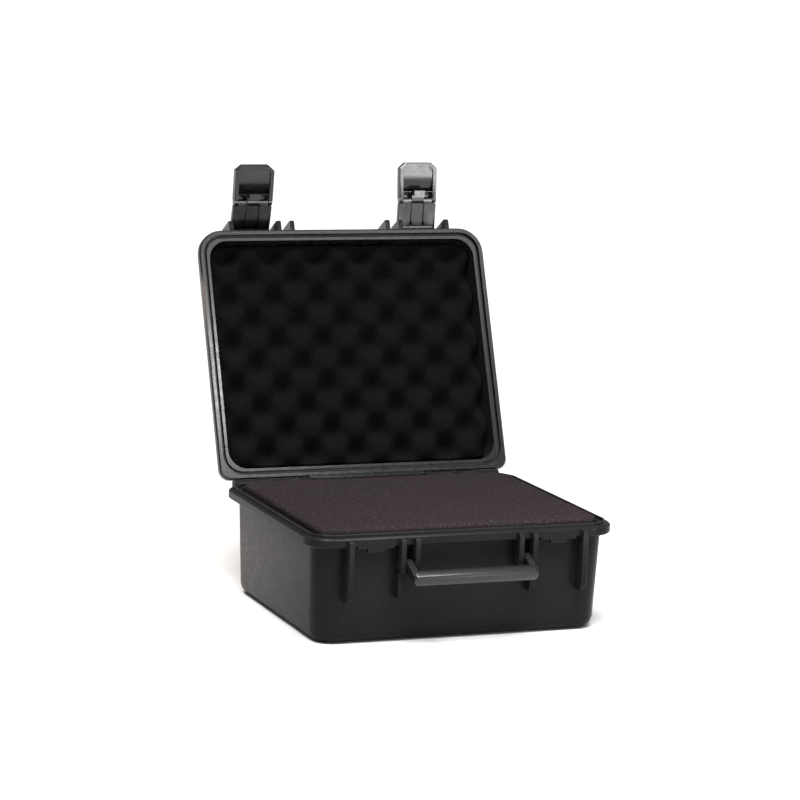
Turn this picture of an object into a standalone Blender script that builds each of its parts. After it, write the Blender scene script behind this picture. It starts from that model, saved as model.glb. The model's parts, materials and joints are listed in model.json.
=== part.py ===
"""Hard equipment case with a hinged lid, two two-piece latches, a bail handle and foam liners.

Metres, +Z up. The origin is the centre of the base's flat underside, X runs along the case's
width and -Y is its front. The lid, latches and handle are built where they sit when the case is
shut and latched, and their parent empties then turn them to the rest pose, which is open.
"""

import math

import bmesh
import bpy
from mathutils import Matrix, Vector

# Driving dimensions: the rim where base and lid meet, and the shells on either side of it
RIM_WIDTH = 0.330
RIM_DEPTH = 0.272
RIM_LEVEL = 0.109  # top of the base's flange
FLANGE_HEIGHT = 0.010
WALL_INSET = 0.0085  # from the flange's edge to the wall behind it
DRAFT = 0.0035  # how far the walls draw in from the flange to the bottom
WALL = 0.004
LID_HEIGHT = 0.0313
LID_DRAFT = 0.002
LID_WALL = 0.0024
LID_FLANGE_HEIGHT = 0.009
LID_CEILING = 0.0032  # thickness of the lid's top
PARTING_GAP = 0.0003

# Corner and edge radii
FRONT_CORNER = 0.027
BASE_REAR_CORNER = 0.0215
LID_REAR_CORNER = 0.012
WALL_CORNER = 0.023
BOTTOM_ROUND = 0.011
TOP_ROUND = 0.007
FLANGE_ROUND = 0.0016

# The tongue on the base, and the groove and seal in the lid
TONGUE_INSET = 0.0055
TONGUE_WIDTH = 0.0025
TONGUE_HEIGHT = 0.003
GROOVE_PLAY = 0.0006
GROOVE_DEPTH = 0.006
SEAL_RADIUS = 0.0012
SEAL_PLAY = 0.0003
LIP_RELIEF = 0.002  # how far the lip inside the groove sits below the parting line

# Ribs on the front of base and lid. A latch sits between each outer pair.
RIB = 0.0056
LID_RIB = 0.005
LATCH_X = 0.0982  # centre of each latch
LATCH_RIB_REACH = 0.0273  # from the latch's centre to the rib on each side
HANDLE_RIB_X = 0.0557
RIB_FRONT = -0.142
RIB_TOP = 0.107
RIB_STEP_FRONT = -0.1365
RIB_STEP_LEVEL = 0.080
OUTER_RIB_FOOT = 0.044
INNER_RIB_FOOT = 0.046
SHORT_RIB_FOOT = 0.071
LID_RIB_FRONT = -0.147

# Keeper on the base's flange, with the lug that the latch hooks under
LEDGE_HALF = 0.019
LEDGE_PROUD = 0.0006
LUG_WIDTH = 0.017
LUG_DROP = 0.0045
LUG_THICK = 0.0042

# Hinge at the back: spans of the knuckles along X on the right half
HINGE_Y = RIM_DEPTH / 2 + 0.005
HINGE_Z = RIM_LEVEL
KNUCKLE_RADIUS = 0.0045
BASE_KNUCKLES = ((0.066, 0.080), (0.096, 0.108), (0.124, 0.138))
HINGE_STOP = (0.1375, 0.152)  # the end of each hinge, out to the case's corner
GUSSET_DROP = 0.022
STOP_DROP = 0.009
LID_KNUCKLES = ((0.0805, 0.0955), (0.1085, 0.1235))
LID_OPENS = 111.86
LIP_HALF = 0.0655  # half the length of the lip on the lid's rear edge, between the hinges
LIP_REACH = 0.0036

# Latch: a link on the lid's ribs, and a lever on the link
LATCH_PIN = Vector((0, -0.1403, 0.1328))
LEVER_PIN = Vector((0, -0.1406, 0.0988))
LATCH_WIDTH = 0.044
LINK_HUB = 0.0036
LINK_INNER = -0.1378
LINK_OUTER = -0.1430
LINK_FOOT = 0.1028
LINK_GROOVE_X = 0.0073
GROOVE_WIDTH = 0.0012
EYE_HALF = 0.0024  # half width of the link's diamond eyes
EYE_FLOOR = 0.0014  # left behind each eye
LEVER_HUB = 0.0036
HOOK_HALF = 0.0068  # half width of the lever's hook and its knuckle
EAR_SPAN = (0.0074, 0.0168)  # the link's ears, between the lever's hook and its cheeks
CHEEK_START = 0.0174
LEVER_TOP = 0.0968
LEVER_TIP = 0.0578
LEVER_INNER = -0.1368
LEVER_OUTER = -0.1450
LEVER_BORDER = 0.0042
LEVER_CHAMFER = (0.0070, 0.0060)
RECESS_DEPTH = 0.0016  # the finger recess: flat at the tip, then falling away to the hook
FALL_RADIUS = 0.045
FALL_SPAN = (0.0700, 0.0895)
GRIP_LINES = 4
GRIP_HALF = 0.0142
GRIP_START = 0.0060  # from the lever's tip to the first line
GRIP_PITCH = 0.0026
GRIP_SIZE = (0.0009, 0.0005)  # width and height of a line
POCKET_FOOT = 0.0898
POCKET_SKIN = 0.0014
NOSE_TIP = -0.1325
NOSE_SPAN = (0.0885, 0.0940)
REST_LINK = {"left": -53.5, "right": -65.0}
REST_LEVER = {"left": -8.7, "right": -6.8}
LATCH_SLIDE = {"left": 0.0, "right": -0.0018}  # where each latch has slid to along its pin

# Handle
HANDLE_PIN = Vector((0, -0.135, 0.080))
HANDLE_REACH = 0.023  # pin to the middle of the bar
HANDLE_HALF = 0.0671
BAR_DEEP = 0.0150
BAR_THICK = 0.0130
BAR_ROUND = 0.0050
ARM_X = 0.0634
ARM_WIDTH = 0.0074
HANDLE_HUB = 0.0055
HANDLE_REST = 24.0

# Pins, and the play in their holes
LATCH_PIN_RADIUS = 0.0016
HINGE_PIN_RADIUS = 0.0015
HANDLE_PIN_RADIUS = 0.0020
PIN_PLAY = 0.0003

# Foam
FOAM_GAP = 0.0006
PAD_TOP = 0.0135
PAD_INSET = 0.0065  # clears the round at the foot of the walls
LAYER_SPLIT = 0.0645
FOAM_TOP = 0.1165
LID_FOAM_FACE = 0.1171
LID_FOAM_INSET = 0.0141
LID_FOAM_CORNER = 0.018
FOAM_ROUND = 0.002

CORNER_STEPS = 7
EDGE_STEPS = 3
HUB_STEPS = 16
WELD = 1e-6

SIDES = {"left": -1, "right": 1}

BLACK = (0.022, 0.021, 0.021, 1.0)
MATERIALS = {
    "shell_plastic": (BLACK, 0.42, 0.0),
    "latch_plastic": ((0.020, 0.020, 0.021, 1.0), 0.36, 0.0),
    "handle_plastic": ((0.020, 0.020, 0.020, 1.0), 0.34, 0.0),
    "pin_steel": ((0.42, 0.42, 0.44, 1.0), 0.32, 1.0),
    "seal_rubber": ((0.012, 0.012, 0.013, 1.0), 0.62, 0.0),
    "base_foam": ((0.070, 0.060, 0.063, 1.0), 0.95, 0.0),
    "lid_foam": ((0.020, 0.020, 0.020, 1.0), 0.95, 0.0),
}


def clear_scene():
    for item in list(bpy.data.objects):
        bpy.data.objects.remove(item, do_unlink=True)


def new_collection(name):
    group = bpy.data.collections.new(name)
    bpy.context.scene.collection.children.link(group)
    return group


def make_materials():
    made = {}
    for name, (colour, roughness, metallic) in MATERIALS.items():
        material = bpy.data.materials.new(name)
        material.use_nodes = True
        shader = material.node_tree.nodes["Principled BSDF"]
        shader.inputs["Base Color"].default_value = colour
        shader.inputs["Roughness"].default_value = roughness
        shader.inputs["Metallic"].default_value = metallic
        made[name] = material
    return made


clear_scene()
PARTS = new_collection("equipment_case")
CUTTERS = new_collection("cutters")
LOOKS = make_materials()


# ---- Solids -------------------------------------------------------------------------------


def add_solid(name, bm):
    """A guide solid in the cutters' collection. Pieces take it as an operand or adopt it."""
    bmesh.ops.recalc_face_normals(bm, faces=bm.faces)
    mesh = bpy.data.meshes.new(name)
    bm.to_mesh(mesh)
    bm.free()
    mesh.shade_smooth()
    mesh.set_sharp_from_angle(angle=math.radians(35))
    item = bpy.data.objects.new(name, mesh)
    item.display_type = "WIRE"
    item.hide_render = True
    CUTTERS.objects.link(item)
    return item


def block(name, low, high):
    """A plain box between two corners."""
    bm = bmesh.new()
    bmesh.ops.create_cube(bm, size=1)
    low, high = Vector(low), Vector(high)
    middle, size = (low + high) / 2, high - low
    for v in bm.verts:
        v.co = Vector(middle[i] + v.co[i] * size[i] for i in range(3))
    return add_solid(name, bm)


def round_edges(bm, edges, width, steps):
    bmesh.ops.bevel(
        bm, geom=edges, offset=width, segments=steps, profile=0.5, affect="EDGES"
    )


def level_edges(bm, level):
    return [e for e in bm.edges if all(abs(v.co.z - level) < WELD for v in e.verts)]


def drafted_block(name, low_half, high_half, low, high, corner, low_round=0, high_round=0):
    """A box with round upright corners whose walls lean between two half sizes."""
    bm = bmesh.new()
    bmesh.ops.create_cube(bm, size=2)
    for v in bm.verts:
        half, level = (high_half, high) if v.co.z > 0 else (low_half, low)
        v.co = Vector((v.co.x * half[0], v.co.y * half[1], level))
    uprights = [e for e in bm.edges if abs(e.verts[0].co.z - e.verts[1].co.z) > WELD]
    round_edges(bm, uprights, corner, CORNER_STEPS)
    for level, width in ((low, low_round), (high, high_round)):
        if width:
            round_edges(bm, level_edges(bm, level), width, EDGE_STEPS)
    return add_solid(name, bm)


def rounded_box(name, half, middle, radius, steps=EDGE_STEPS):
    """A box rounded on all its edges."""
    bm = bmesh.new()
    bmesh.ops.create_cube(bm, size=2)
    for v in bm.verts:
        v.co = Vector(middle[i] + v.co[i] * half[i] for i in range(3))
    round_edges(bm, list(bm.edges), radius, steps)
    return add_solid(name, bm)


def rod(name, centre, radius, half_length, steps=16):
    """A cylinder along X."""
    bm = bmesh.new()
    turn = Matrix.Translation(centre) @ Matrix.Rotation(math.pi / 2, 4, "Y")
    bmesh.ops.create_cone(
        bm,
        cap_ends=True,
        segments=steps,
        radius1=radius,
        radius2=radius,
        depth=2 * half_length,
        matrix=turn,
    )
    return add_solid(name, bm)


def arc(centre, radius, start, end, steps):
    """Points on an arc in the outline's plane, angles in degrees."""
    angles = [math.radians(start + (end - start) * k / steps) for k in range(steps + 1)]
    return [(centre[0] + radius * math.cos(a), centre[1] + radius * math.sin(a)) for a in angles]


def rim_outline(inset, rear=None):
    """The rim's plan, drawn in by inset. A flange's own edge has tighter rear corners."""
    x, y = half_sizes(inset)
    front = FRONT_CORNER - inset
    rear = rear or front
    corners = ((x, y, rear, 0), (-x, y, rear, 90), (-x, -y, front, 180), (x, -y, front, 270))
    points = []
    for cx, cy, radius, start in corners:
        centre = (cx - math.copysign(radius, cx), cy - math.copysign(radius, cy))
        points += arc(centre, radius, start, start + 90, CORNER_STEPS)
    return points


def turned(outline, clockwise):
    """The outline in the wanted direction round."""
    following = outline[1:] + outline[:1]
    area = sum(a[0] * b[1] - b[0] * a[1] for a, b in zip(outline, following))
    return outline[::-1] if (area < 0) != clockwise else outline


AXES = {
    "X": Matrix(((0, 0, 1), (1, 0, 0), (0, 1, 0))).to_4x4(),  # outline in (y, z)
    "Y": Matrix(((1, 0, 0), (0, 0, 1), (0, 1, 0))).to_4x4(),  # outline in (x, z)
    "Z": Matrix.Identity(4),  # outline in (x, y)
}


def plate(name, outlines, span, across, rounding=0.0):
    """A flat outline, with any holes in it, that fills a span of the axis it lies across."""
    curve = bpy.data.curves.new(name, "CURVE")
    curve.dimensions = "2D"
    curve.fill_mode = "BOTH"
    curve.bevel_depth = rounding
    curve.bevel_resolution = 0
    curve.offset = -rounding
    curve.extrude = abs(span[1] - span[0]) / 2 - rounding
    for k, outline in enumerate(outlines):
        spline = curve.splines.new("POLY")
        spline.points.add(len(outline) - 1)
        for point, (u, v) in zip(spline.points, turned(outline, k > 0)):
            point.co = (u, v, 0, 1)
        spline.use_cyclic_u = True
    drawn = bpy.data.objects.new(name + "_outline", curve)
    CUTTERS.objects.link(drawn)
    bpy.context.view_layer.update()
    graph = bpy.context.evaluated_depsgraph_get()
    mesh = bpy.data.meshes.new_from_object(drawn.evaluated_get(graph))
    bm = bmesh.new()
    bm.from_mesh(mesh)
    turn = AXES[across]
    middle = turn.col[2].to_3d() * (span[0] + span[1]) / 2
    bm.transform(Matrix.Translation(middle) @ turn)
    bmesh.ops.remove_doubles(bm, verts=bm.verts, dist=WELD)
    bpy.data.objects.remove(drawn, do_unlink=True)
    bpy.data.meshes.remove(mesh)
    return add_solid(name, bm)


def about(middle, width):
    return (middle - width / 2, middle + width / 2)


def combine(item, operation, *others):
    """Joins or cuts item with other solids, one Boolean each."""
    for other in others:
        modifier = item.modifiers.new(f"{operation.lower()}_{other.name}", "BOOLEAN")
        modifier.operation = operation
        modifier.object = other
        modifier.solver = "EXACT"
    return item


def as_part(item, name, look):
    """Makes a guide solid a piece of the case."""
    CUTTERS.objects.unlink(item)
    PARTS.objects.link(item)
    item.name = name
    item.display_type = "TEXTURED"
    item.hide_render = False
    item.data.materials.clear()
    item.data.materials.append(LOOKS[look])
    return item


def frame_at(name, place, degrees, parent=None):
    """An empty on a joint's axis that turns what it carries about X."""
    empty = bpy.data.objects.new(name, None)
    PARTS.objects.link(empty)
    empty.location = place
    empty.rotation_euler = (math.radians(degrees), 0, 0)
    empty["pivot"] = list(place)
    if parent:
        carry(parent, empty)
    return empty


def carry(frame, *items):
    """Items built in the shut position ride on a joint's empty, with the solids they're cut by."""
    for item in items:
        operands = [modifier.object for modifier in item.modifiers]
        for rider in [item, *operands]:
            rider.parent = frame
            rider.matrix_parent_inverse = Matrix.Translation(-Vector(frame["pivot"]))


def half_sizes(inset):
    return (RIM_WIDTH / 2 - inset, RIM_DEPTH / 2 - inset)


def rib_places():
    """Middles of the ribs along X on the right half: two about the latch, one by the handle."""
    return (LATCH_X + LATCH_RIB_REACH, LATCH_X - LATCH_RIB_REACH, HANDLE_RIB_X)


# ---- Base ---------------------------------------------------------------------------------


def wall_half(level, inward=0.0):
    """Half sizes of the base's outer wall at a height, or of a surface inside it."""
    share = 1 - level / (RIM_LEVEL - FLANGE_HEIGHT)
    return half_sizes(WALL_INSET + DRAFT * share + inward)


def rib_head():
    """The upper outer corner that all the base's ribs share."""
    corner = 0.003
    return arc((RIB_FRONT + corner, RIB_TOP - corner), corner, 180, 90, 3)


def plain_rib(foot, sweep):
    """Side view of a straight fin with a swept foot."""
    root = -wall_half(foot, 0.002)[1]
    outline = [(root, RIB_TOP), (root, foot)]
    outline += arc((RIB_FRONT + sweep, foot + sweep), sweep, 270, 180, 5)
    return outline + rib_head()


def stepped_rib():
    """Side view of a fin that steps back below the handle's pin."""
    foot = INNER_RIB_FOOT
    sweep = 0.006
    step = 0.004
    root = -wall_half(foot, 0.002)[1]
    outline = [(root, RIB_TOP), (root, foot)]
    outline += arc((RIB_STEP_FRONT + sweep, foot + sweep), sweep, 270, 180, 4)
    outline += [(RIB_STEP_FRONT, RIB_STEP_LEVEL - 0.009)]
    outline += arc((RIB_FRONT + step, RIB_STEP_LEVEL - 0.004), step, 240, 180, 3)
    return outline + rib_head()


def base_ribs():
    outer, inner, short = rib_places()
    designs = {
        "outer": (outer, plain_rib(OUTER_RIB_FOOT, 0.010)),
        "inner": (inner, stepped_rib()),
        "short": (short, plain_rib(SHORT_RIB_FOOT, 0.008)),
    }
    ribs = []
    for side, sign in SIDES.items():
        for label, (x, outline) in designs.items():
            name = f"base_rib_{label}_{side}"
            ribs.append(plate(name, [outline], about(sign * x, RIB), "X", 0.0005))
    return ribs


def keeper(side, sign):
    """A ledge on the flange between two ribs, and the lug under it that the latch hooks."""
    x = sign * LATCH_X
    front = -RIM_DEPTH / 2
    under = RIM_LEVEL - FLANGE_HEIGHT
    ledge = block(
        f"keeper_ledge_{side}",
        (x - LEDGE_HALF, front - LEDGE_PROUD, under - 0.001),
        (x + LEDGE_HALF, front + 0.004, RIM_LEVEL - 0.002),
    )
    lug = block(
        f"keeper_lug_{side}",
        (x - LUG_WIDTH / 2, front - LEDGE_PROUD / 2, under - LUG_DROP),
        (x + LUG_WIDTH / 2, front + LUG_THICK, under + 0.003),
    )
    return [ledge, lug]


def base_knuckle_outline(drop):
    """A barrel round the hinge's axis, with a gusset that drops below the flange."""
    back = RIM_DEPTH / 2
    wall = back - WALL_INSET
    outline = arc((HINGE_Y, HINGE_Z), KNUCKLE_RADIUS, -50, 180, HUB_STEPS)
    outline += [(back - 0.0002, RIM_LEVEL - 0.0018), (wall - 0.002, RIM_LEVEL - 0.0018)]
    return outline + [(wall - 0.002, RIM_LEVEL - drop), (wall + 0.0015, RIM_LEVEL - drop)]


def lid_knuckle_outline():
    """A barrel round the hinge's axis, with a gusset over the lid's flange."""
    back = RIM_DEPTH / 2
    wall = back - WALL_INSET
    outline = arc((HINGE_Y, HINGE_Z), KNUCKLE_RADIUS, 170, 410, HUB_STEPS)
    outline += [(wall + 0.0015, RIM_LEVEL + 0.021), (wall - 0.002, RIM_LEVEL + 0.021)]
    return outline + [(wall - 0.002, RIM_LEVEL + 0.002), (back - 0.0002, RIM_LEVEL + 0.002)]


def knuckles(label, outline, spans):
    made = []
    for side, sign in SIDES.items():
        for k, (start, end) in enumerate(spans, 1):
            name = f"{label}_knuckle_{side}_{k}"
            made.append(plate(name, [outline], (sign * start, sign * end), "X"))
    return made


def hinge_span():
    return (BASE_KNUCKLES[0][0], BASE_KNUCKLES[-1][1])


def hinge_bores(label):
    start, end = hinge_span()
    made = []
    for side, sign in SIDES.items():
        place = (sign * (start + end) / 2, HINGE_Y, HINGE_Z)
        radius = HINGE_PIN_RADIUS + PIN_PLAY
        made.append(rod(f"{label}_hinge_bore_{side}", place, radius, (end - start) / 2 + 0.003))
    return made


def make_base_shell():
    top = RIM_LEVEL - FLANGE_HEIGHT / 2
    body = drafted_block(
        "base_shell", wall_half(0), wall_half(top), 0, top, WALL_CORNER, BOTTOM_ROUND
    )
    flange_span = (RIM_LEVEL - FLANGE_HEIGHT, RIM_LEVEL)
    flange = plate("base_flange", [rim_outline(0, BASE_REAR_CORNER)], flange_span, "Z", FLANGE_ROUND)
    ring = [rim_outline(TONGUE_INSET), rim_outline(TONGUE_INSET + TONGUE_WIDTH)]
    tongue = plate("base_tongue", ring, about(RIM_LEVEL, 2 * TONGUE_HEIGHT), "Z", 0.0005)
    cavity_top = RIM_LEVEL + 0.02
    cavity = drafted_block(
        "base_cavity",
        wall_half(WALL, WALL),
        wall_half(cavity_top, WALL),
        WALL,
        cavity_top,
        WALL_CORNER - WALL,
        BOTTOM_ROUND - WALL + 0.001,
    )
    hinge_parts = knuckles("base", base_knuckle_outline(GUSSET_DROP), BASE_KNUCKLES)
    hinge_parts += knuckles("base_stop", base_knuckle_outline(STOP_DROP), [HINGE_STOP])
    combine(body, "UNION", flange, tongue, *base_ribs(), *hinge_parts)
    for side, sign in SIDES.items():
        combine(body, "UNION", *keeper(side, sign))
    combine(body, "DIFFERENCE", cavity, *hinge_bores("base"))
    for side, sign in SIDES.items():
        place = (sign * ARM_X, HANDLE_PIN.y, HANDLE_PIN.z)
        bore = rod(f"handle_bore_{side}", place, HANDLE_PIN_RADIUS + PIN_PLAY, 0.016)
        combine(body, "DIFFERENCE", bore)
    return as_part(body, "base_shell", "shell_plastic")


def make_base_foam():
    """A flat pad on the bottom, and two layers of block foam over it."""
    corner = WALL_CORNER - WALL
    inward = WALL + FOAM_GAP
    pad_half = wall_half(0, inward + PAD_INSET)
    pad = drafted_block(
        "base_foam_pad", pad_half, pad_half, WALL + FOAM_GAP, PAD_TOP, corner - PAD_INSET
    )
    low, high = PAD_TOP + FOAM_GAP / 2, LAYER_SPLIT
    lower = drafted_block(
        "base_foam_lower", wall_half(low, inward), wall_half(high, inward), low, high, corner
    )
    low = LAYER_SPLIT + FOAM_GAP / 2
    top_half = half_sizes(LID_FOAM_INSET)
    upper = drafted_block(
        "base_foam_upper",
        wall_half(low, inward),
        top_half,
        low,
        FOAM_TOP,
        corner,
        0,
        FOAM_ROUND,
    )
    for piece in (pad, lower, upper):
        as_part(piece, piece.name, "base_foam")


# ---- Lid ----------------------------------------------------------------------------------


def lid_rib_outline():
    """Side view of a lid rib: deepest at the rim, rounded about the latch's pin."""
    root = -half_sizes(WALL_INSET + LID_DRAFT + 0.001)[1]
    low = RIM_LEVEL + 0.0015
    corner = 0.0025
    eye = 0.0038
    outline = [(root, low)]
    outline += arc((LID_RIB_FRONT + corner, low + corner), corner, 270, 180, 3)
    outline += arc((LATCH_PIN.y, LATCH_PIN.z), eye, 190, 80, 8)
    return outline + [(root, LATCH_PIN.z + eye - 0.0015)]


def lid_lip(low):
    """A lip on the flange's rear edge, between the two hinges."""
    back = RIM_DEPTH / 2
    reach = back + LIP_REACH
    high = RIM_LEVEL + LID_FLANGE_HEIGHT - 0.0006
    cut = 0.0012
    outline = [(back - 0.004, low + 0.0004), (reach - cut, low + 0.0004)]
    outline += [(reach, low + 0.0004 + cut), (reach, high - cut), (reach - cut, high)]
    outline += [(back - 0.004, high)]
    return plate("lid_lip", [outline], (-LIP_HALF, LIP_HALF), "X")


def make_lid_shell(hinge):
    low = RIM_LEVEL + PARTING_GAP
    top = RIM_LEVEL + LID_HEIGHT
    body = drafted_block(
        "lid_shell",
        half_sizes(WALL_INSET),
        half_sizes(WALL_INSET + LID_DRAFT),
        RIM_LEVEL + LID_FLANGE_HEIGHT / 2,
        top,
        WALL_CORNER,
        0,
        TOP_ROUND,
    )
    flange_span = (low, RIM_LEVEL + LID_FLANGE_HEIGHT)
    flange = plate("lid_flange", [rim_outline(0, LID_REAR_CORNER)], flange_span, "Z", FLANGE_ROUND)
    ring = [
        rim_outline(TONGUE_INSET - GROOVE_PLAY),
        rim_outline(TONGUE_INSET + TONGUE_WIDTH + GROOVE_PLAY),
    ]
    groove = plate("lid_groove", ring, about(low, 2 * GROOVE_DEPTH), "Z")
    inner = [rim_outline(TONGUE_INSET + TONGUE_WIDTH / 2)]
    relief = plate("lid_lip_relief", inner, about(RIM_LEVEL, 2 * LIP_RELIEF), "Z")
    inset = WALL_INSET + LID_WALL
    cavity = drafted_block(
        "lid_cavity",
        half_sizes(inset),
        half_sizes(inset + LID_DRAFT),
        RIM_LEVEL - 0.01,
        top - LID_CEILING,
        WALL_CORNER - LID_WALL,
        0,
        TOP_ROUND - LID_WALL + 0.001,
    )
    ribs = []
    for side, sign in SIDES.items():
        for k, x in enumerate(rib_places(), 1):
            name = f"lid_rib_{side}_{k}"
            ribs.append(plate(name, [lid_rib_outline()], about(sign * x, LID_RIB), "X", 0.0005))
    hinge_parts = knuckles("lid", lid_knuckle_outline(), LID_KNUCKLES)
    combine(body, "UNION", flange, lid_lip(low), *ribs, *hinge_parts)
    combine(body, "DIFFERENCE", groove, relief, cavity, *hinge_bores("lid"))
    for side, sign in SIDES.items():
        place = (sign * LATCH_X, LATCH_PIN.y, LATCH_PIN.z)
        bore = rod(f"latch_bore_{side}", place, LATCH_PIN_RADIUS + PIN_PLAY, 0.034)
        combine(body, "DIFFERENCE", bore)
    carry(hinge, as_part(body, "lid_shell", "shell_plastic"))


def make_gasket(hinge):
    """A round rubber cord that lies along the bottom of the lid's groove."""
    curve = bpy.data.curves.new("lid_gasket", "CURVE")
    curve.dimensions = "3D"
    curve.bevel_depth = SEAL_RADIUS
    curve.bevel_resolution = 1
    spline = curve.splines.new("POLY")
    outline = rim_outline(TONGUE_INSET + TONGUE_WIDTH / 2)
    level = RIM_LEVEL + PARTING_GAP + GROOVE_DEPTH - SEAL_RADIUS - SEAL_PLAY
    spline.points.add(len(outline) - 1)
    for point, (x, y) in zip(spline.points, outline):
        point.co = (x, y, level, 1)
    spline.use_cyclic_u = True
    curve.materials.append(LOOKS["seal_rubber"])
    item = bpy.data.objects.new("lid_gasket", curve)
    PARTS.objects.link(item)
    carry(hinge, item)


def make_lid_foam(hinge):
    """The egg-crate liner as a plain block, from its peaks to the lid's ceiling."""
    inset = LID_FOAM_INSET
    ceiling = RIM_LEVEL + LID_HEIGHT - LID_CEILING - FOAM_GAP
    foam = drafted_block(
        "lid_foam",
        half_sizes(inset + LID_DRAFT / 2),
        half_sizes(inset + LID_DRAFT),
        LID_FOAM_FACE,
        ceiling,
        LID_FOAM_CORNER,
        0,
        FOAM_ROUND,
    )
    carry(hinge, as_part(foam, "lid_foam", "lid_foam"))


# ---- Latches ------------------------------------------------------------------------------


def link_outline():
    """The link's side view: a barrel on the lid's pin and a plate hanging from it."""
    outline = arc((LATCH_PIN.y, LATCH_PIN.z), LINK_HUB, -40, 220, HUB_STEPS)
    outline += [(LINK_OUTER, LATCH_PIN.z - 0.005), (LINK_OUTER, LINK_FOOT)]
    return outline + [(LINK_INNER, LINK_FOOT), (LINK_INNER, LATCH_PIN.z - 0.005)]


def ear_outline():
    """One of the link's ears, which reach down to hold the lever's pin."""
    outline = arc((LEVER_PIN.y, LEVER_PIN.z), LEVER_HUB - 0.0008, 190, 350, 8)
    above = LINK_FOOT + 0.002
    return outline + [(LINK_INNER - 0.0004, above), (LINK_OUTER + 0.0004, above)]


def link_cuts(side, x):
    """Grooves down the link's inner face, and the diamond eyes at their upper ends."""
    cuts = []
    high = LATCH_PIN.z - 0.0082
    across = (LINK_OUTER + EYE_FLOOR, LINK_INNER + 0.001)
    for k in (-1, 1):
        middle = x + k * LINK_GROOVE_X
        low_corner = (middle - GROOVE_WIDTH / 2, LINK_INNER - 0.0014, LINK_FOOT - 0.001)
        high_corner = (middle + GROOVE_WIDTH / 2, LINK_INNER + 0.001, high)
        cuts.append(block(f"link_groove_{side}_{k}", low_corner, high_corner))
        eye = [
            (middle - EYE_HALF, high),
            (middle, high - EYE_HALF * 1.3),
            (middle + EYE_HALF, high),
            (middle, high + EYE_HALF * 1.3),
        ]
        cuts.append(plate(f"link_eye_{side}_{k}", [eye], across, "Y"))
    return cuts


def pin_bore(name, x, pin):
    return rod(name, (x, pin.y, pin.z), LATCH_PIN_RADIUS + PIN_PLAY, 0.03)


def make_link(side, x, frame):
    span = about(x, LATCH_WIDTH)
    body = plate(f"latch_link_{side}", [link_outline()], span, "X", 0.0005)
    start, end = EAR_SPAN
    for k in (-1, 1):
        ear_span = (x + k * start, x + k * end)
        combine(body, "UNION", plate(f"link_ear_{side}_{k}", [ear_outline()], ear_span, "X"))
    combine(body, "DIFFERENCE", *link_cuts(side, x))
    combine(body, "DIFFERENCE", pin_bore(f"link_top_bore_{side}", x, LATCH_PIN))
    combine(body, "DIFFERENCE", pin_bore(f"link_foot_bore_{side}", x, LEVER_PIN))
    carry(frame, as_part(body, f"latch_link_{side}", "latch_plastic"))


def lever_face(x, top, border=0.0):
    """The lever's plate seen from the front, with its two lower corners cut off."""
    half = LATCH_WIDTH / 2 - border
    cut_x, cut_z = (cut - border / 2 for cut in LEVER_CHAMFER)
    tip = LEVER_TIP + border
    return [
        (x - half, top),
        (x - half, tip + cut_z),
        (x - half + cut_x, tip),
        (x + half - cut_x, tip),
        (x + half, tip + cut_z),
        (x + half, top),
    ]


def fall_outline(ground):
    """Side view of the recess's deep end, over a floor that curves away from the flat."""
    start, end = FALL_SPAN
    turn = math.degrees(math.asin((end - start) / FALL_RADIUS))
    outline = arc((ground - FALL_RADIUS, start), FALL_RADIUS, 0, turn, 10)
    above = LEVER_INNER + 0.002
    return outline + [(above, end), (above, start)]


def grip_lines(side, x):
    """Raised lines across the lever's tip, on the floor of its finger recess."""
    width, height = GRIP_SIZE
    ground = LEVER_INNER - RECESS_DEPTH
    lines = []
    for k in range(GRIP_LINES):
        low, high = about(LEVER_TIP + GRIP_START + k * GRIP_PITCH, width)
        low_corner = (x - GRIP_HALF, ground - height, low)
        lines.append(block(f"grip_{side}_{k}", low_corner, (x + GRIP_HALF, ground + height, high)))
    return lines


def lever_barrel_outline():
    """Side view of the lever's knuckle on its pin, joined down to the plate."""
    outline = arc((LEVER_PIN.y, LEVER_PIN.z), LEVER_HUB, -20, 200, HUB_STEPS)
    foot = LEVER_TOP - 0.003
    return outline + [(LEVER_OUTER + 0.0006, foot), (LEVER_INNER - 0.0004, foot)]


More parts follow.
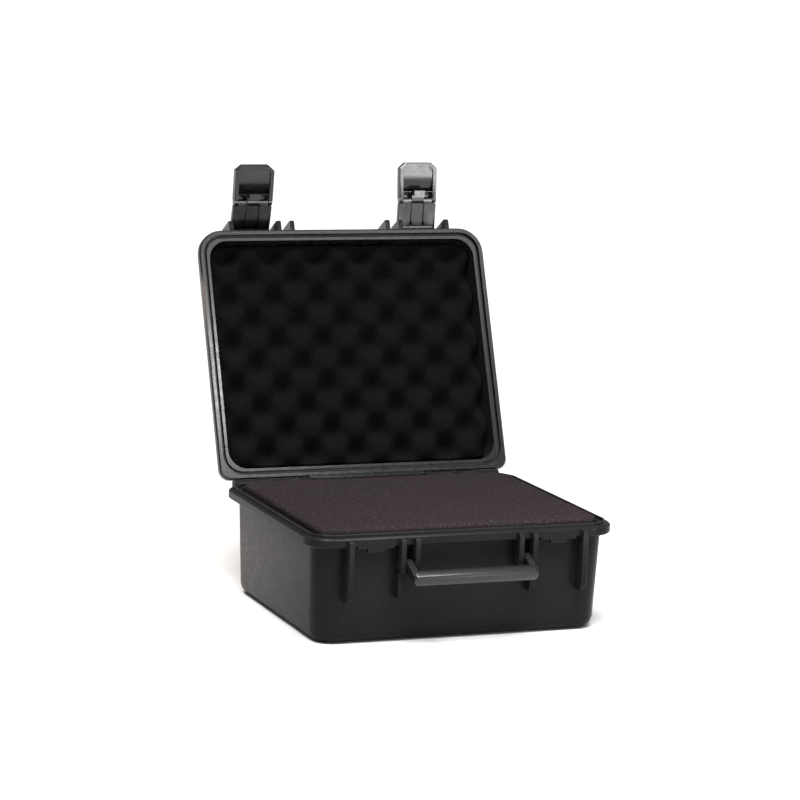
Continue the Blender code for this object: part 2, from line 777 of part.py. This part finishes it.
def make_lever(side, x, frame):
    half = LATCH_WIDTH / 2
    thickness = (LEVER_OUTER, LEVER_INNER)
    body = plate(f"latch_lever_{side}", [lever_face(x, LEVER_TOP)], thickness, "Y", 0.0007)
    ground = LEVER_INNER - RECESS_DEPTH
    flat = [lever_face(x, FALL_SPAN[0] + 0.001, LEVER_BORDER)]
    recess = plate(f"recess_{side}", flat, (ground, LEVER_INNER + 0.002), "Y")
    fall = plate(f"fall_{side}", [fall_outline(ground)], about(x, LATCH_WIDTH - 2 * LEVER_BORDER), "X")
    combine(body, "DIFFERENCE", recess, fall)
    combine(body, "UNION", *grip_lines(side, x))
    start, end = HOOK_HALF + 0.0004, CHEEK_START
    skin = LEVER_OUTER + POCKET_SKIN
    for k in (-1, 1):
        low_x, high_x = sorted((x + k * start, x + k * end))
        low_corner = (low_x, skin, POCKET_FOOT)
        high_corner = (high_x, LEVER_INNER + 0.002, LEVER_TOP + 0.002)
        combine(body, "DIFFERENCE", block(f"pocket_{side}_{k}", low_corner, high_corner))
    outline = lever_barrel_outline()
    spans = {
        "hook": (x - HOOK_HALF, x + HOOK_HALF),
        "cheek_low": (x - half + 0.0004, x - CHEEK_START - 0.0002),
        "cheek_high": (x + CHEEK_START + 0.0002, x + half - 0.0004),
    }
    for label, span in spans.items():
        combine(body, "UNION", plate(f"{label}_{side}", [outline], span, "X"))
    nose = block(
        f"nose_{side}",
        (x - HOOK_HALF + 0.0006, LEVER_PIN.y, NOSE_SPAN[0]),
        (x + HOOK_HALF - 0.0006, NOSE_TIP, NOSE_SPAN[1]),
    )
    combine(body, "UNION", nose)
    combine(body, "DIFFERENCE", pin_bore(f"lever_bore_{side}", x, LEVER_PIN))
    carry(frame, as_part(body, f"latch_lever_{side}", "latch_plastic"))


def make_pin(name, place, radius, half_length, frame=None):
    pin = as_part(rod(name, place, radius, half_length, HUB_STEPS), name, "pin_steel")
    if frame:
        carry(frame, pin)


def make_latches(hinge):
    rib_reach = LATCH_RIB_REACH + LID_RIB / 2 - 0.0003
    for side, sign in SIDES.items():
        x = sign * LATCH_X
        slid = x + LATCH_SLIDE[side]
        swing = frame_at(f"latch_axis_{side}", LATCH_PIN, REST_LINK[side], hinge)
        tip = frame_at(f"lever_axis_{side}", LEVER_PIN, REST_LEVER[side], swing)
        make_link(side, slid, swing)
        make_lever(side, slid, tip)
        top = (x, LATCH_PIN.y, LATCH_PIN.z)
        foot = (slid, LEVER_PIN.y, LEVER_PIN.z)
        make_pin(f"latch_pin_{side}", top, LATCH_PIN_RADIUS, rib_reach, hinge)
        make_pin(f"lever_pin_{side}", foot, LATCH_PIN_RADIUS, LATCH_WIDTH / 2 - 0.0006, swing)


# ---- Handle -------------------------------------------------------------------------------


def make_handle():
    """A bail built pointing straight forward from its pins."""
    frame = frame_at("handle_axis", HANDLE_PIN, HANDLE_REST)
    pin_y, pin_z = HANDLE_PIN.y, HANDLE_PIN.z
    bar_y = pin_y - HANDLE_REACH
    half = (HANDLE_HALF, BAR_DEEP / 2, BAR_THICK / 2)
    bar = rounded_box("handle", half, (0, bar_y, pin_z), BAR_ROUND)
    outline = arc((pin_y, pin_z), HANDLE_HUB, -88, 88, HUB_STEPS // 2)
    outline += [(bar_y, pin_z + HANDLE_HUB - 0.0003), (bar_y, pin_z - HANDLE_HUB + 0.0003)]
    middle = (rib_places()[1] + HANDLE_RIB_X) / 2
    reach = (rib_places()[1] - HANDLE_RIB_X) / 2 + RIB / 2 - 0.0003
    for side, sign in SIDES.items():
        span = about(sign * ARM_X, ARM_WIDTH - 0.0004)
        arm = plate(f"handle_arm_{side}", [outline], span, "X", 0.0006)
        place = (sign * ARM_X, pin_y, pin_z)
        bore = rod(f"arm_bore_{side}", place, HANDLE_PIN_RADIUS + PIN_PLAY, 0.008)
        combine(bar, "UNION", arm)
        combine(bar, "DIFFERENCE", bore)
        make_pin(f"handle_pin_{side}", (sign * middle, pin_y, pin_z), HANDLE_PIN_RADIUS, reach)
    carry(frame, as_part(bar, "handle", "handle_plastic"))


def make_hinge_pins():
    start, end = hinge_span()
    for side, sign in SIDES.items():
        place = (sign * (start + end) / 2, HINGE_Y, HINGE_Z)
        make_pin(f"hinge_pin_{side}", place, HINGE_PIN_RADIUS, (end - start) / 2 + 0.0008)


def main():
    hinge = frame_at("hinge_axis", Vector((0, HINGE_Y, HINGE_Z)), -LID_OPENS)
    make_base_shell()
    make_base_foam()
    make_lid_shell(hinge)
    make_gasket(hinge)
    make_lid_foam(hinge)
    make_latches(hinge)
    make_handle()
    make_hinge_pins()
    bpy.context.view_layer.update()


main()
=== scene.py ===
"""Looks of the hard equipment case: real egg-crate and block foam, moulded plastic with a fine
grain, steel pins and a rubber seal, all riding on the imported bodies.
"""

import json
import math

import bmesh
import bpy
from mathutils import Matrix, Vector, noise


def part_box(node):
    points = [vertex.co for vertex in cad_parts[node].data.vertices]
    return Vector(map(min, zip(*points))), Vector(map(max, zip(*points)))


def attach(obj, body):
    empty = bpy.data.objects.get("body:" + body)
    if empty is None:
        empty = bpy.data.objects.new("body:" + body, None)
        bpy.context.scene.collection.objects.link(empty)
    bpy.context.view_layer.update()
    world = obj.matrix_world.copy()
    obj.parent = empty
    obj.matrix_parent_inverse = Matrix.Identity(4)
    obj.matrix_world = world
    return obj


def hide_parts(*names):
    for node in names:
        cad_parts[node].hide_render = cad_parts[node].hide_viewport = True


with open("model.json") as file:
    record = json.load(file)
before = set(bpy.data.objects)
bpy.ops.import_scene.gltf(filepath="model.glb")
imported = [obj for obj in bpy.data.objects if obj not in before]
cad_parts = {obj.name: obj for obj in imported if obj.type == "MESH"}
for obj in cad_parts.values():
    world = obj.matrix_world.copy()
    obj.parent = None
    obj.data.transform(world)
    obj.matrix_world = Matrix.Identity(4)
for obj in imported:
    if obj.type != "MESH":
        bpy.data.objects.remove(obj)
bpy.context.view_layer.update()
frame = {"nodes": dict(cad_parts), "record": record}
NODES = frame["nodes"]
JOINTS = {joint["name"]: joint for joint in frame["record"]["behaviour"]["joints"]}
SIDES = {"left": -1, "right": 1}

MM = 0.001

# The lid's liner where the lid is shut: the levels of its face and back, and how much less its
# half depth is than its half width
LID_FOAM_FACE = 117.1 * MM
LID_FOAM_BACK = 136.2 * MM
RIM_STEP = 29 * MM

# Easing of the moulded edges
SHARP_ANGLE = math.radians(28.0)  # edges turning more than this are eased
FLAT_ANGLE = math.radians(0.6)  # faces closer to flat than this are merged first
EASE_STEPS = 2
MERGE = 0.005 * MM

# Block foam
FOAM_PLAY = 0.2 * MM  # the visible block is this much smaller than its solid on each side
FOAM_CORNER = 16 * MM
FOAM_STEP = 2.2 * MM  # grid of the block's top
FOAM_SETTLE = 0.5 * MM  # how far the top's mean level lies under its solid's
FOAM_ROLL = 3.2 * MM  # how far the top's edge rolls down
ROLL_REACH = 2.2 * MM
FOAM_WAVES = (  # height, size and seed of each unevenness
    (0.55 * MM, 70 * MM, 1.5),
    (0.22 * MM, 19 * MM, 7.1),
    (0.10 * MM, 3.1 * MM, 3.3),
)
FOAM_BULGE_DEPTH = 6 * MM  # below the top, where the block's side bulges
FOAM_BULGE = 0.1 * MM
FOAM_STRAIGHT_DEPTH = 14 * MM  # below the top, where it is straight again
LAYER_STEP = 9 * MM  # grid of the hidden layers
LAYER_SETTLE = 0.1 * MM
LAYER_WAVE = (0.08 * MM, 12 * MM, 5.0)  # height, size and seed
LAYER_FOOT_INSET = 0.3 * MM

# Egg-crate foam
EGG_STEP = 1.9 * MM  # grid of the egg-crate
EGG_PITCH = 51.8 * MM
EGG_ROWS = 24.2 * MM
EGG_HEIGHT = 16.5 * MM
EGG_START = (-2.1 * MM, 10.5 * MM)  # a pit near the middle of the lid
EGG_SHARPNESS = 1.6
EGG_PLAY = 0.3 * MM
EGG_FACE_SETTLE = 0.6 * MM
EGG_SAG = (0.5 * MM, 60 * MM, 2.2)  # height, size and seed
EGG_BACK_STEP = 0.2 * MM  # the least height of the liner's side

FLOOR_HALF = 40  # metres
FLOOR_DROP = 0.3 * MM
WORLD_LOW, WORLD_HIGH = 0.22, 0.5  # the world's strength at the horizon and overhead

# The lid stands open by the hinge's range, so its pieces are made shut and then turned
HINGE = Vector(JOINTS["lid_hinge"]["pos_m"])
LID_TURN = -math.radians(max(JOINTS["lid_hinge"]["range_deg"]))


def link_group(name):
    group = bpy.data.collections.new(name)
    bpy.context.scene.collection.children.link(group)
    return group


VISIBLE = link_group("looks")
STAGE = link_group("stage")


# ---- Node helpers -------------------------------------------------------------------------


class Look:
    """A material under construction, with a method for each kind of node that it needs."""

    def __init__(self, name, colour, roughness, specular=0.5):
        self.material = bpy.data.materials.new(name)
        self.material.use_nodes = True
        self.tree = self.material.node_tree
        self.shader = self.tree.nodes["Principled BSDF"]
        self.shader.inputs["Base Color"].default_value = (*colour, 1)
        self.shader.inputs["Roughness"].default_value = roughness
        self.shader.inputs["Specular IOR Level"].default_value = specular
        self.place = self.add("ShaderNodeTexCoord").outputs["Object"]

    def add(self, kind, **settings):
        node = self.tree.nodes.new(kind)
        for key, value in settings.items():
            setattr(node, key, value)
        return node

    def wire(self, source, target):
        self.tree.links.new(source, target)

    def noise(self, scale, detail=3.0, rough=0.55):
        node = self.add("ShaderNodeTexNoise")
        node.inputs["Scale"].default_value = scale
        node.inputs["Detail"].default_value = detail
        node.inputs["Roughness"].default_value = rough
        self.wire(self.place, node.inputs["Vector"])
        return node.outputs["Fac"]

    def cells(self, scale):
        node = self.add("ShaderNodeTexVoronoi")
        node.inputs["Scale"].default_value = scale
        self.wire(self.place, node.inputs["Vector"])
        return node.outputs["Distance"]

    def ramp(self, source, low, high, first=0.0, second=1.0):
        node = self.add("ShaderNodeMapRange")
        node.inputs["From Min"].default_value = low
        node.inputs["From Max"].default_value = high
        node.inputs["To Min"].default_value = first
        node.inputs["To Max"].default_value = second
        self.wire(source, node.inputs["Value"])
        return node.outputs["Result"]

    def maths(self, operation, first, second):
        node = self.add("ShaderNodeMath", operation=operation)
        for slot, value in zip(node.inputs, (first, second)):
            if isinstance(value, (int, float)):
                slot.default_value = value
            else:
                self.wire(value, slot)
        return node.outputs["Value"]

    def mix(self, share, first, second):
        """A mix of two colours. Sockets 6 and 7 of the node are its colours A and B."""
        node = self.add("ShaderNodeMix", data_type="RGBA")
        self.wire(share, node.inputs["Factor"])
        for slot, value in ((node.inputs[6], first), (node.inputs[7], second)):
            if isinstance(value, tuple):
                slot.default_value = (*value, 1)
            else:
                self.wire(value, slot)
        return node.outputs[2]

    def bump(self, height, distance, strength=1.0, under=None):
        node = self.add("ShaderNodeBump")
        node.inputs["Distance"].default_value = distance
        node.inputs["Strength"].default_value = strength
        self.wire(height, node.inputs["Height"])
        if under is not None:
            self.wire(under, node.inputs["Normal"])
        self.wire(node.outputs["Normal"], self.shader.inputs["Normal"])
        return node.outputs["Normal"]

    def edges(self, reach):
        """Where the surface turns sharply within reach, as at a moulded edge."""
        bevel = self.add("ShaderNodeBevel", samples=4)
        bevel.inputs["Radius"].default_value = reach
        geometry = self.add("ShaderNodeNewGeometry")
        agree = self.add("ShaderNodeVectorMath", operation="DOT_PRODUCT")
        self.wire(bevel.outputs["Normal"], agree.inputs[0])
        self.wire(geometry.outputs["Normal"], agree.inputs[1])
        return self.ramp(agree.outputs["Value"], 0.97, 0.75)

    def set(self, slot, source):
        self.wire(source, self.shader.inputs[slot])


GRAIN = 1500.0  # scale of the spark-eroded texture, in features to a metre


def moulded(name, colour, wear_and_highlight_colour, roughness, specular, bite=0.35):
    """Moulded plastic: fine spark-eroded grain, faint flow clouds, scuffs, and edges lightened
    partly as rubbed wear and partly as a painted highlight.
    """
    look = Look(name, colour, roughness, specular)
    clouds = look.noise(14.0, 4.0)
    scuffs = look.noise(160.0, 6.0, 0.7)
    fine = look.noise(GRAIN, 2.0)
    # Edge mask: lightens moulded edges towards the edge colour, partly rubbed wear and partly a
    # painted highlight along the edges; the same mask also smooths them a little.
    edge_wear_and_highlight = look.maths("MULTIPLY", look.edges(0.7 * MM), look.ramp(clouds, 0.3, 0.7, 0.35, 1.0))
    base = look.mix(look.ramp(clouds, 0.35, 0.65), tuple(0.85 * c for c in colour), colour)
    look.set("Base Color", look.mix(edge_wear_and_highlight, base, wear_and_highlight_colour))
    rough = look.ramp(scuffs, 0.35, 0.7, roughness - 0.05, roughness + 0.07)
    look.set("Roughness", look.maths("SUBTRACT", rough, look.maths("MULTIPLY", edge_wear_and_highlight, 0.08)))
    soft = look.bump(look.noise(30.0, 1.0), 0.06 * MM, 0.06)
    look.bump(fine, 0.018 * MM, bite, soft)
    return look.material


def foam_look(name, pore_shade, mid, light, cell, glint_threshold):
    """Open-cell foam: pores down to the cell, darker where the pore bump sinks as painted shade,
    with a few light specks painted where struts would catch light, as painted highlights.
    """
    look = Look(name, mid, 0.95, 0.0)
    pores = look.cells(cell)
    struts = look.cells(cell * 0.55)
    patches = look.noise(38.0, 4.0)
    # Painted shade: the colour darkens where the pore bump sinks.
    tone = look.mix(look.ramp(pores, 0.15, 0.75), mid, pore_shade)
    tone = look.mix(look.ramp(patches, 0.3, 0.7, 0.0, 0.5), tone, tuple(0.75 * c for c in mid))
    # Painted highlights: light specks where the struts would catch the light, in the third colour.
    painted_glints = look.ramp(look.noise(cell * 0.42, 1.0), glint_threshold, glint_threshold + 0.12)
    look.set("Base Color", look.mix(look.maths("MULTIPLY", painted_glints, 0.5), tone, light))
    height = look.maths("ADD", look.ramp(pores, 0.0, 0.8, 1.0, 0.0), struts)
    look.bump(height, 0.5 * MM, 0.7)
    return look.material


def steel_look():
    look = Look("pin_steel_look", (0.36, 0.36, 0.38), 0.3)
    look.shader.inputs["Metallic"].default_value = 1.0
    streaks = look.noise(900.0, 2.0)
    look.set("Roughness", look.ramp(streaks, 0.3, 0.7, 0.24, 0.42))
    look.set("Base Color", look.mix(look.noise(80.0), (0.24, 0.24, 0.25), (0.46, 0.46, 0.48)))
    look.bump(streaks, 0.01 * MM, 0.4)
    return look.material


def rubber_look():
    look = Look("seal_rubber_look", (0.012, 0.012, 0.013), 0.6, 0.3)
    dust = look.noise(240.0, 5.0, 0.7)
    look.set("Base Color", look.mix(look.ramp(dust, 0.45, 0.75), (0.010,) * 3, (0.022,) * 3))
    look.set("Roughness", look.ramp(dust, 0.3, 0.7, 0.52, 0.74))
    look.bump(dust, 0.03 * MM, 0.5)
    return look.material


def floor_look():
    look = Look("floor_look", (0.56, 0.56, 0.56), 0.9, 0.0)
    look.set("Base Color", look.mix(look.noise(6.0), (0.55,) * 3, (0.57,) * 3))
    return look.material


# The second colour of each plastic is its edge colour: partly rubbed wear, partly a painted
# highlight along the moulded edges. The lid is the same plastic as the shell, set a little darker,
# glossier and with a much lighter edge colour, so its rim carries more painted highlight.
SHELL = moulded("shell_look", (0.0100, 0.0096, 0.0094), (0.026, 0.025, 0.024), 0.30, 0.05)
LID = moulded("lid_look", (0.0085, 0.0082, 0.0080), (0.050, 0.049, 0.048), 0.24, 0.30)
LATCH = moulded("latch_look", (0.003, 0.003, 0.0032), (0.02, 0.02, 0.021), 0.22, 0.5, 0.05)
GRIP = moulded("handle_look", (0.008, 0.008, 0.008), (0.035, 0.035, 0.035), 0.34, 0.42, 0.02)
STEEL = steel_look()
RUBBER = rubber_look()
# Each foam's colours: painted shade in the pores, the foam's own tone, and the painted glint
# colour; then the cell scale and the glint threshold.
BASE_FOAM = foam_look(
    "base_foam_look",
    (0.0125, 0.0100, 0.0107),
    (0.0235, 0.0180, 0.0197),
    (0.055, 0.047, 0.050),
    900.0,
    0.60,
)
LID_FOAM = foam_look(
    "lid_foam_look", (0.0030,) * 3, (0.0054,) * 3, (0.0084,) * 3, 700.0, 0.66
)


# ---- Pieces -------------------------------------------------------------------------------


def add_piece(name, mesh, look, node):
    piece = bpy.data.objects.new(name, mesh)
    VISIBLE.objects.link(piece)
    mesh.materials.clear()
    mesh.materials.append(look)
    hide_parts(node)
    return piece


def mesh_from(bm, name):
    bmesh.ops.recalc_face_normals(bm, faces=bm.faces)
    mesh = bpy.data.meshes.new(name)
    bm.to_mesh(mesh)
    bm.free()
    return mesh


def refined(node, look, body, round_off):
    """The CAD piece with its moulded edges eased, so that they catch the light."""
    bm = bmesh.new()
    bm.from_mesh(NODES[node].data)
    bmesh.ops.remove_doubles(bm, verts=bm.verts, dist=MERGE)
    bmesh.ops.dissolve_limit(bm, angle_limit=FLAT_ANGLE, verts=bm.verts, edges=bm.edges)
    mesh = mesh_from(bm, node + "_look")
    mesh.shade_smooth()
    mesh.set_sharp_from_angle(angle=SHARP_ANGLE)
    piece = add_piece(node + "_look", mesh, look, node)
    bevel = piece.modifiers.new("eased_edges", "BEVEL")
    bevel.width = round_off
    bevel.segments = EASE_STEPS
    bevel.limit_method = "ANGLE"
    bevel.angle_limit = SHARP_ANGLE
    bevel.use_clamp_overlap = True
    bevel.harden_normals = True
    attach(piece, body)
    return piece


def lid_to_rest(bm):
    """Turns a mesh made where the lid sits shut to where the open lid has it."""
    turn = Matrix.Translation(HINGE) @ Matrix.Rotation(LID_TURN, 4, "X")
    bm.transform(turn @ Matrix.Translation(-HINGE))


def rounded_inside(x, y, half_x, half_y, corner):
    """How far inside a rounded rectangle a point is."""
    dx = abs(x) - (half_x - corner)
    dy = abs(y) - (half_y - corner)
    outside = math.hypot(max(dx, 0), max(dy, 0)) + min(max(dx, dy), 0)
    return corner - outside


def foam_sheet(half_x, half_y, corner, step):
    """A flat grid whose corner cells are pulled in to give a rounded rectangle."""
    bm = bmesh.new()
    across, along = round(2 * half_x / step), round(2 * half_y / step)
    bmesh.ops.create_grid(bm, x_segments=across, y_segments=along, size=1)
    for v in bm.verts:
        u, w = v.co.x, v.co.y
        x, y = u * half_x, w * half_y
        dx, dy = abs(x) - (half_x - corner), abs(y) - (half_y - corner)
        if dx > 0 and dy > 0:
            reach = math.hypot(dx, dy)
            square = max(dx, dy)
            shrink = square / reach
            x = math.copysign(half_x - corner + dx * shrink, x)
            y = math.copysign(half_y - corner + dy * shrink, y)
        v.co = Vector((x, y, 0))
    return bm


def wall_down(bm, levels, shape):
    """Carries the sheet's rim through levels of (z, drawn in) and closes the far side."""
    rim = [e for e in bm.edges if e.is_boundary]
    for level, inward in levels:
        made = bmesh.ops.extrude_edge_only(bm, edges=rim)["geom"]
        for v in (g for g in made if isinstance(g, bmesh.types.BMVert)):
            shape(v, level, inward)
        rim = [g for g in made if isinstance(g, bmesh.types.BMEdge)]
        rim = [e for e in rim if e.is_boundary]
    bmesh.ops.holes_fill(bm, edges=rim, sides=0)


def ripple(point, height, size, seed):
    """Gentle unevenness of a given height and size, the same on every run."""
    return height * noise.noise(Vector((point[0] / size, point[1] / size, seed)))


def draw_in(v, level, inward, half_x, half_y):
    """Moves a rim point to a level, and in from the sides that it is on or near."""
    v.co.z = level
    v.co.x -= math.copysign(inward, v.co.x) if abs(v.co.x) > half_x - FOAM_CORNER else 0
    v.co.y -= math.copysign(inward, v.co.y) if abs(v.co.y) > half_y - FOAM_CORNER else 0


def add_foam(name, mesh, look, body, node):
    piece = add_piece(name, mesh, look, node)
    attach(piece, body)


def make_upper_foam():
    """Block foam standing just proud of the rim, with a rolled edge and an uneven top.
    Gives the half sizes of the block, which the layers under it follow.
    """
    low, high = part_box("base_foam_upper")
    half_x, half_y = high.x - FOAM_PLAY, high.y - FOAM_PLAY
    top = high.z
    bm = foam_sheet(half_x, half_y, FOAM_CORNER, FOAM_STEP)
    for v in bm.verts:
        inside = rounded_inside(v.co.x, v.co.y, half_x, half_y, FOAM_CORNER)
        roll = FOAM_ROLL * math.exp(-inside / ROLL_REACH)
        waves = sum(ripple(v.co, *wave) for wave in FOAM_WAVES)
        v.co.z = top - FOAM_SETTLE - roll + waves

    def shape(v, level, inward):
        draw_in(v, level, inward, half_x, half_y)

    levels = [
        (top - FOAM_BULGE_DEPTH, -FOAM_BULGE),
        (top - FOAM_STRAIGHT_DEPTH, 0),
        (low.z, 0),
    ]
    wall_down(bm, levels, shape)
    mesh = mesh_from(bm, "foam_upper")
    mesh.shade_smooth()
    add_foam("base_foam_top", mesh, BASE_FOAM, "base", "base_foam_upper")
    return half_x, half_y


def make_foam_layer(node, half_x, half_y):
    """A plain layer of foam under the upper block."""
    low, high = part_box(node)
    bm = foam_sheet(high.x - FOAM_PLAY, high.y - FOAM_PLAY, FOAM_CORNER, LAYER_STEP)
    for v in bm.verts:
        v.co.z = high.z - LAYER_SETTLE + ripple(v.co, *LAYER_WAVE)

    def shape(v, level, inward):
        draw_in(v, level, inward, half_x, half_y)

    wall_down(bm, [(low.z, LAYER_FOOT_INSET)], shape)
    add_foam(node + "_block", mesh_from(bm, node), BASE_FOAM, "base", node)


def make_base_foam():
    half_x, half_y = make_upper_foam()
    for node in ("base_foam_lower", "base_foam_pad"):
        make_foam_layer(node, half_x, half_y)


def make_lid_foam():
    """Egg-crate foam: staggered rounded peaks and pits, cut square at the lid's walls."""
    half_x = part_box("lid_foam")[1].x - EGG_PLAY
    half_y = half_x - RIM_STEP
    bm = foam_sheet(half_x, half_y, FOAM_CORNER, EGG_STEP)
    for v in bm.verts:
        a = math.cos(2 * math.pi * (v.co.x - EGG_START[0]) / EGG_PITCH)
        b = math.cos(math.pi * (v.co.y - EGG_START[1]) / EGG_ROWS)
        pit = EGG_HEIGHT * (0.5 + 0.5 * a * b) ** EGG_SHARPNESS
        v.co.z = LID_FOAM_FACE + EGG_FACE_SETTLE + pit + ripple(v.co, *EGG_SAG)

    def drop(v, level, inward):
        v.co.z = max(level, v.co.z + EGG_BACK_STEP)

    wall_down(bm, [(LID_FOAM_BACK, 0)], drop)
    lid_to_rest(bm)
    mesh = mesh_from(bm, "egg_crate")
    mesh.shade_smooth()
    add_foam("lid_foam_egg_crate", mesh, LID_FOAM, "lid", "lid_foam")


def make_shells():
    refined("base_shell", SHELL, "base", 0.5 * MM)
    refined("lid_shell", LID, "lid", 0.5 * MM)
    refined("handle", GRIP, "handle", 0.5 * MM)
    for side in SIDES:
        refined(f"latch_link_{side}", LATCH, f"latch_link_{side}", 0.25 * MM)
        refined(f"latch_lever_{side}", LATCH, f"latch_lever_{side}", 0.35 * MM)


def finish_small_nodes():
    """Pins and seal keep their CAD shape, with a finish of their own."""
    for name, node in NODES.items():
        if "pin" in name or name == "lid_gasket":
            node.data.materials.clear()
            node.data.materials.append(RUBBER if name == "lid_gasket" else STEEL)


# ---- Stage --------------------------------------------------------------------------------


def make_floor():
    bm = bmesh.new()
    bmesh.ops.create_grid(bm, x_segments=1, y_segments=1, size=FLOOR_HALF)
    mesh = mesh_from(bm, "floor")
    floor = bpy.data.objects.new("floor", mesh)
    floor.location.z = -FLOOR_DROP
    mesh.materials.append(floor_look())
    STAGE.objects.link(floor)


def make_world():
    world = bpy.data.worlds.new("studio")
    bpy.context.scene.world = world
    world.use_nodes = True
    tree = world.node_tree
    background = tree.nodes["Background"]
    place = tree.nodes.new("ShaderNodeTexCoord")
    split = tree.nodes.new("ShaderNodeSeparateXYZ")
    tree.links.new(place.outputs["Generated"], split.inputs["Vector"])
    rise = tree.nodes.new("ShaderNodeMapRange")
    rise.inputs["From Min"].default_value = -0.1
    rise.inputs["From Max"].default_value = 1.0
    rise.inputs["To Min"].default_value = WORLD_LOW
    rise.inputs["To Max"].default_value = WORLD_HIGH
    tree.links.new(split.outputs["Z"], rise.inputs["Value"])
    background.inputs["Color"].default_value = (1, 1, 1, 1)
    tree.links.new(rise.outputs["Result"], background.inputs["Strength"])


WARM = (1.0, 0.80, 0.68)


def softbox(name, place, target, width, height, watts, colour=(1, 1, 1)):
    light = bpy.data.lights.new(name, "AREA")
    light.shape = "RECTANGLE"
    light.size = width
    light.size_y = height
    light.energy = watts
    light.color = colour
    item = bpy.data.objects.new(name, light)
    item.location = place
    aim = Vector(target) - Vector(place)
    item.rotation_euler = aim.to_track_quat("-Z", "Y").to_euler()
    item.visible_camera = False
    STAGE.objects.link(item)


def far_key(name, direction, spread, strength):
    """A large soft light far overhead, which lights the whole floor evenly."""
    light = bpy.data.lights.new(name, "SUN")
    light.angle = math.radians(spread)
    light.energy = strength
    item = bpy.data.objects.new(name, light)
    item.rotation_euler = Vector(direction).to_track_quat("Z", "Y").to_euler()
    STAGE.objects.link(item)


def make_lights():
    far_key("key_above", (-0.22, -0.22, 0.95), 30, 5.9)
    softbox("front_pool", (0.10, -0.40, 0.60), (0.10, -0.36, 0.0), 0.2, 0.2, 4.5)
    softbox("bar_strip", (0.9, -1.7, 1.75), (0.0, -0.1, 0.1), 1.5, 0.35, 12)
    softbox("low_front_right", (1.30, -2.75, 0.40), (0.1, 0.26, 0.42), 0.8, 0.9, 34)
    softbox("left_box", (-0.28, 0.18, 0.34), (-0.46, 0.50, 0.0), 0.12, 0.12, 1.2, WARM)


CAMERA_PLACE = (-1.17565, -2.82076, 0.74193)
CAMERA_AZIMUTH = -22.12
CAMERA_ELEVATION = 9.76
CAMERA_ROLL = 2.11
CAMERA_LENS = 136.24
CAMERA_SHIFT = (0.0064, 0.0022)


def make_camera():
    azimuth, elevation, roll = map(
        math.radians, (CAMERA_AZIMUTH, CAMERA_ELEVATION, CAMERA_ROLL)
    )
    back = Vector(
        (
            math.sin(azimuth) * math.cos(elevation),
            -math.cos(azimuth) * math.cos(elevation),
            math.sin(elevation),
        )
    )
    right = Vector((math.cos(azimuth), math.sin(azimuth), 0))
    up = back.cross(right)
    across = right * math.cos(roll) + up * math.sin(roll)
    upward = up * math.cos(roll) - right * math.sin(roll)
    camera = bpy.data.cameras.new("camera")
    camera.lens = CAMERA_LENS
    camera.sensor_width = 36
    camera.shift_x, camera.shift_y = CAMERA_SHIFT
    item = bpy.data.objects.new("camera", camera)
    item.matrix_world = Matrix.Translation(CAMERA_PLACE) @ (
        Matrix((across, upward, back)).transposed().to_4x4()
    )
    STAGE.objects.link(item)
    bpy.context.scene.camera = item


bpy.context.scene.view_settings.view_transform = "Standard"
make_camera()
make_world()
make_lights()
make_floor()
make_shells()
make_base_foam()
make_lid_foam()
finish_small_nodes()
bpy.context.view_layer.update()
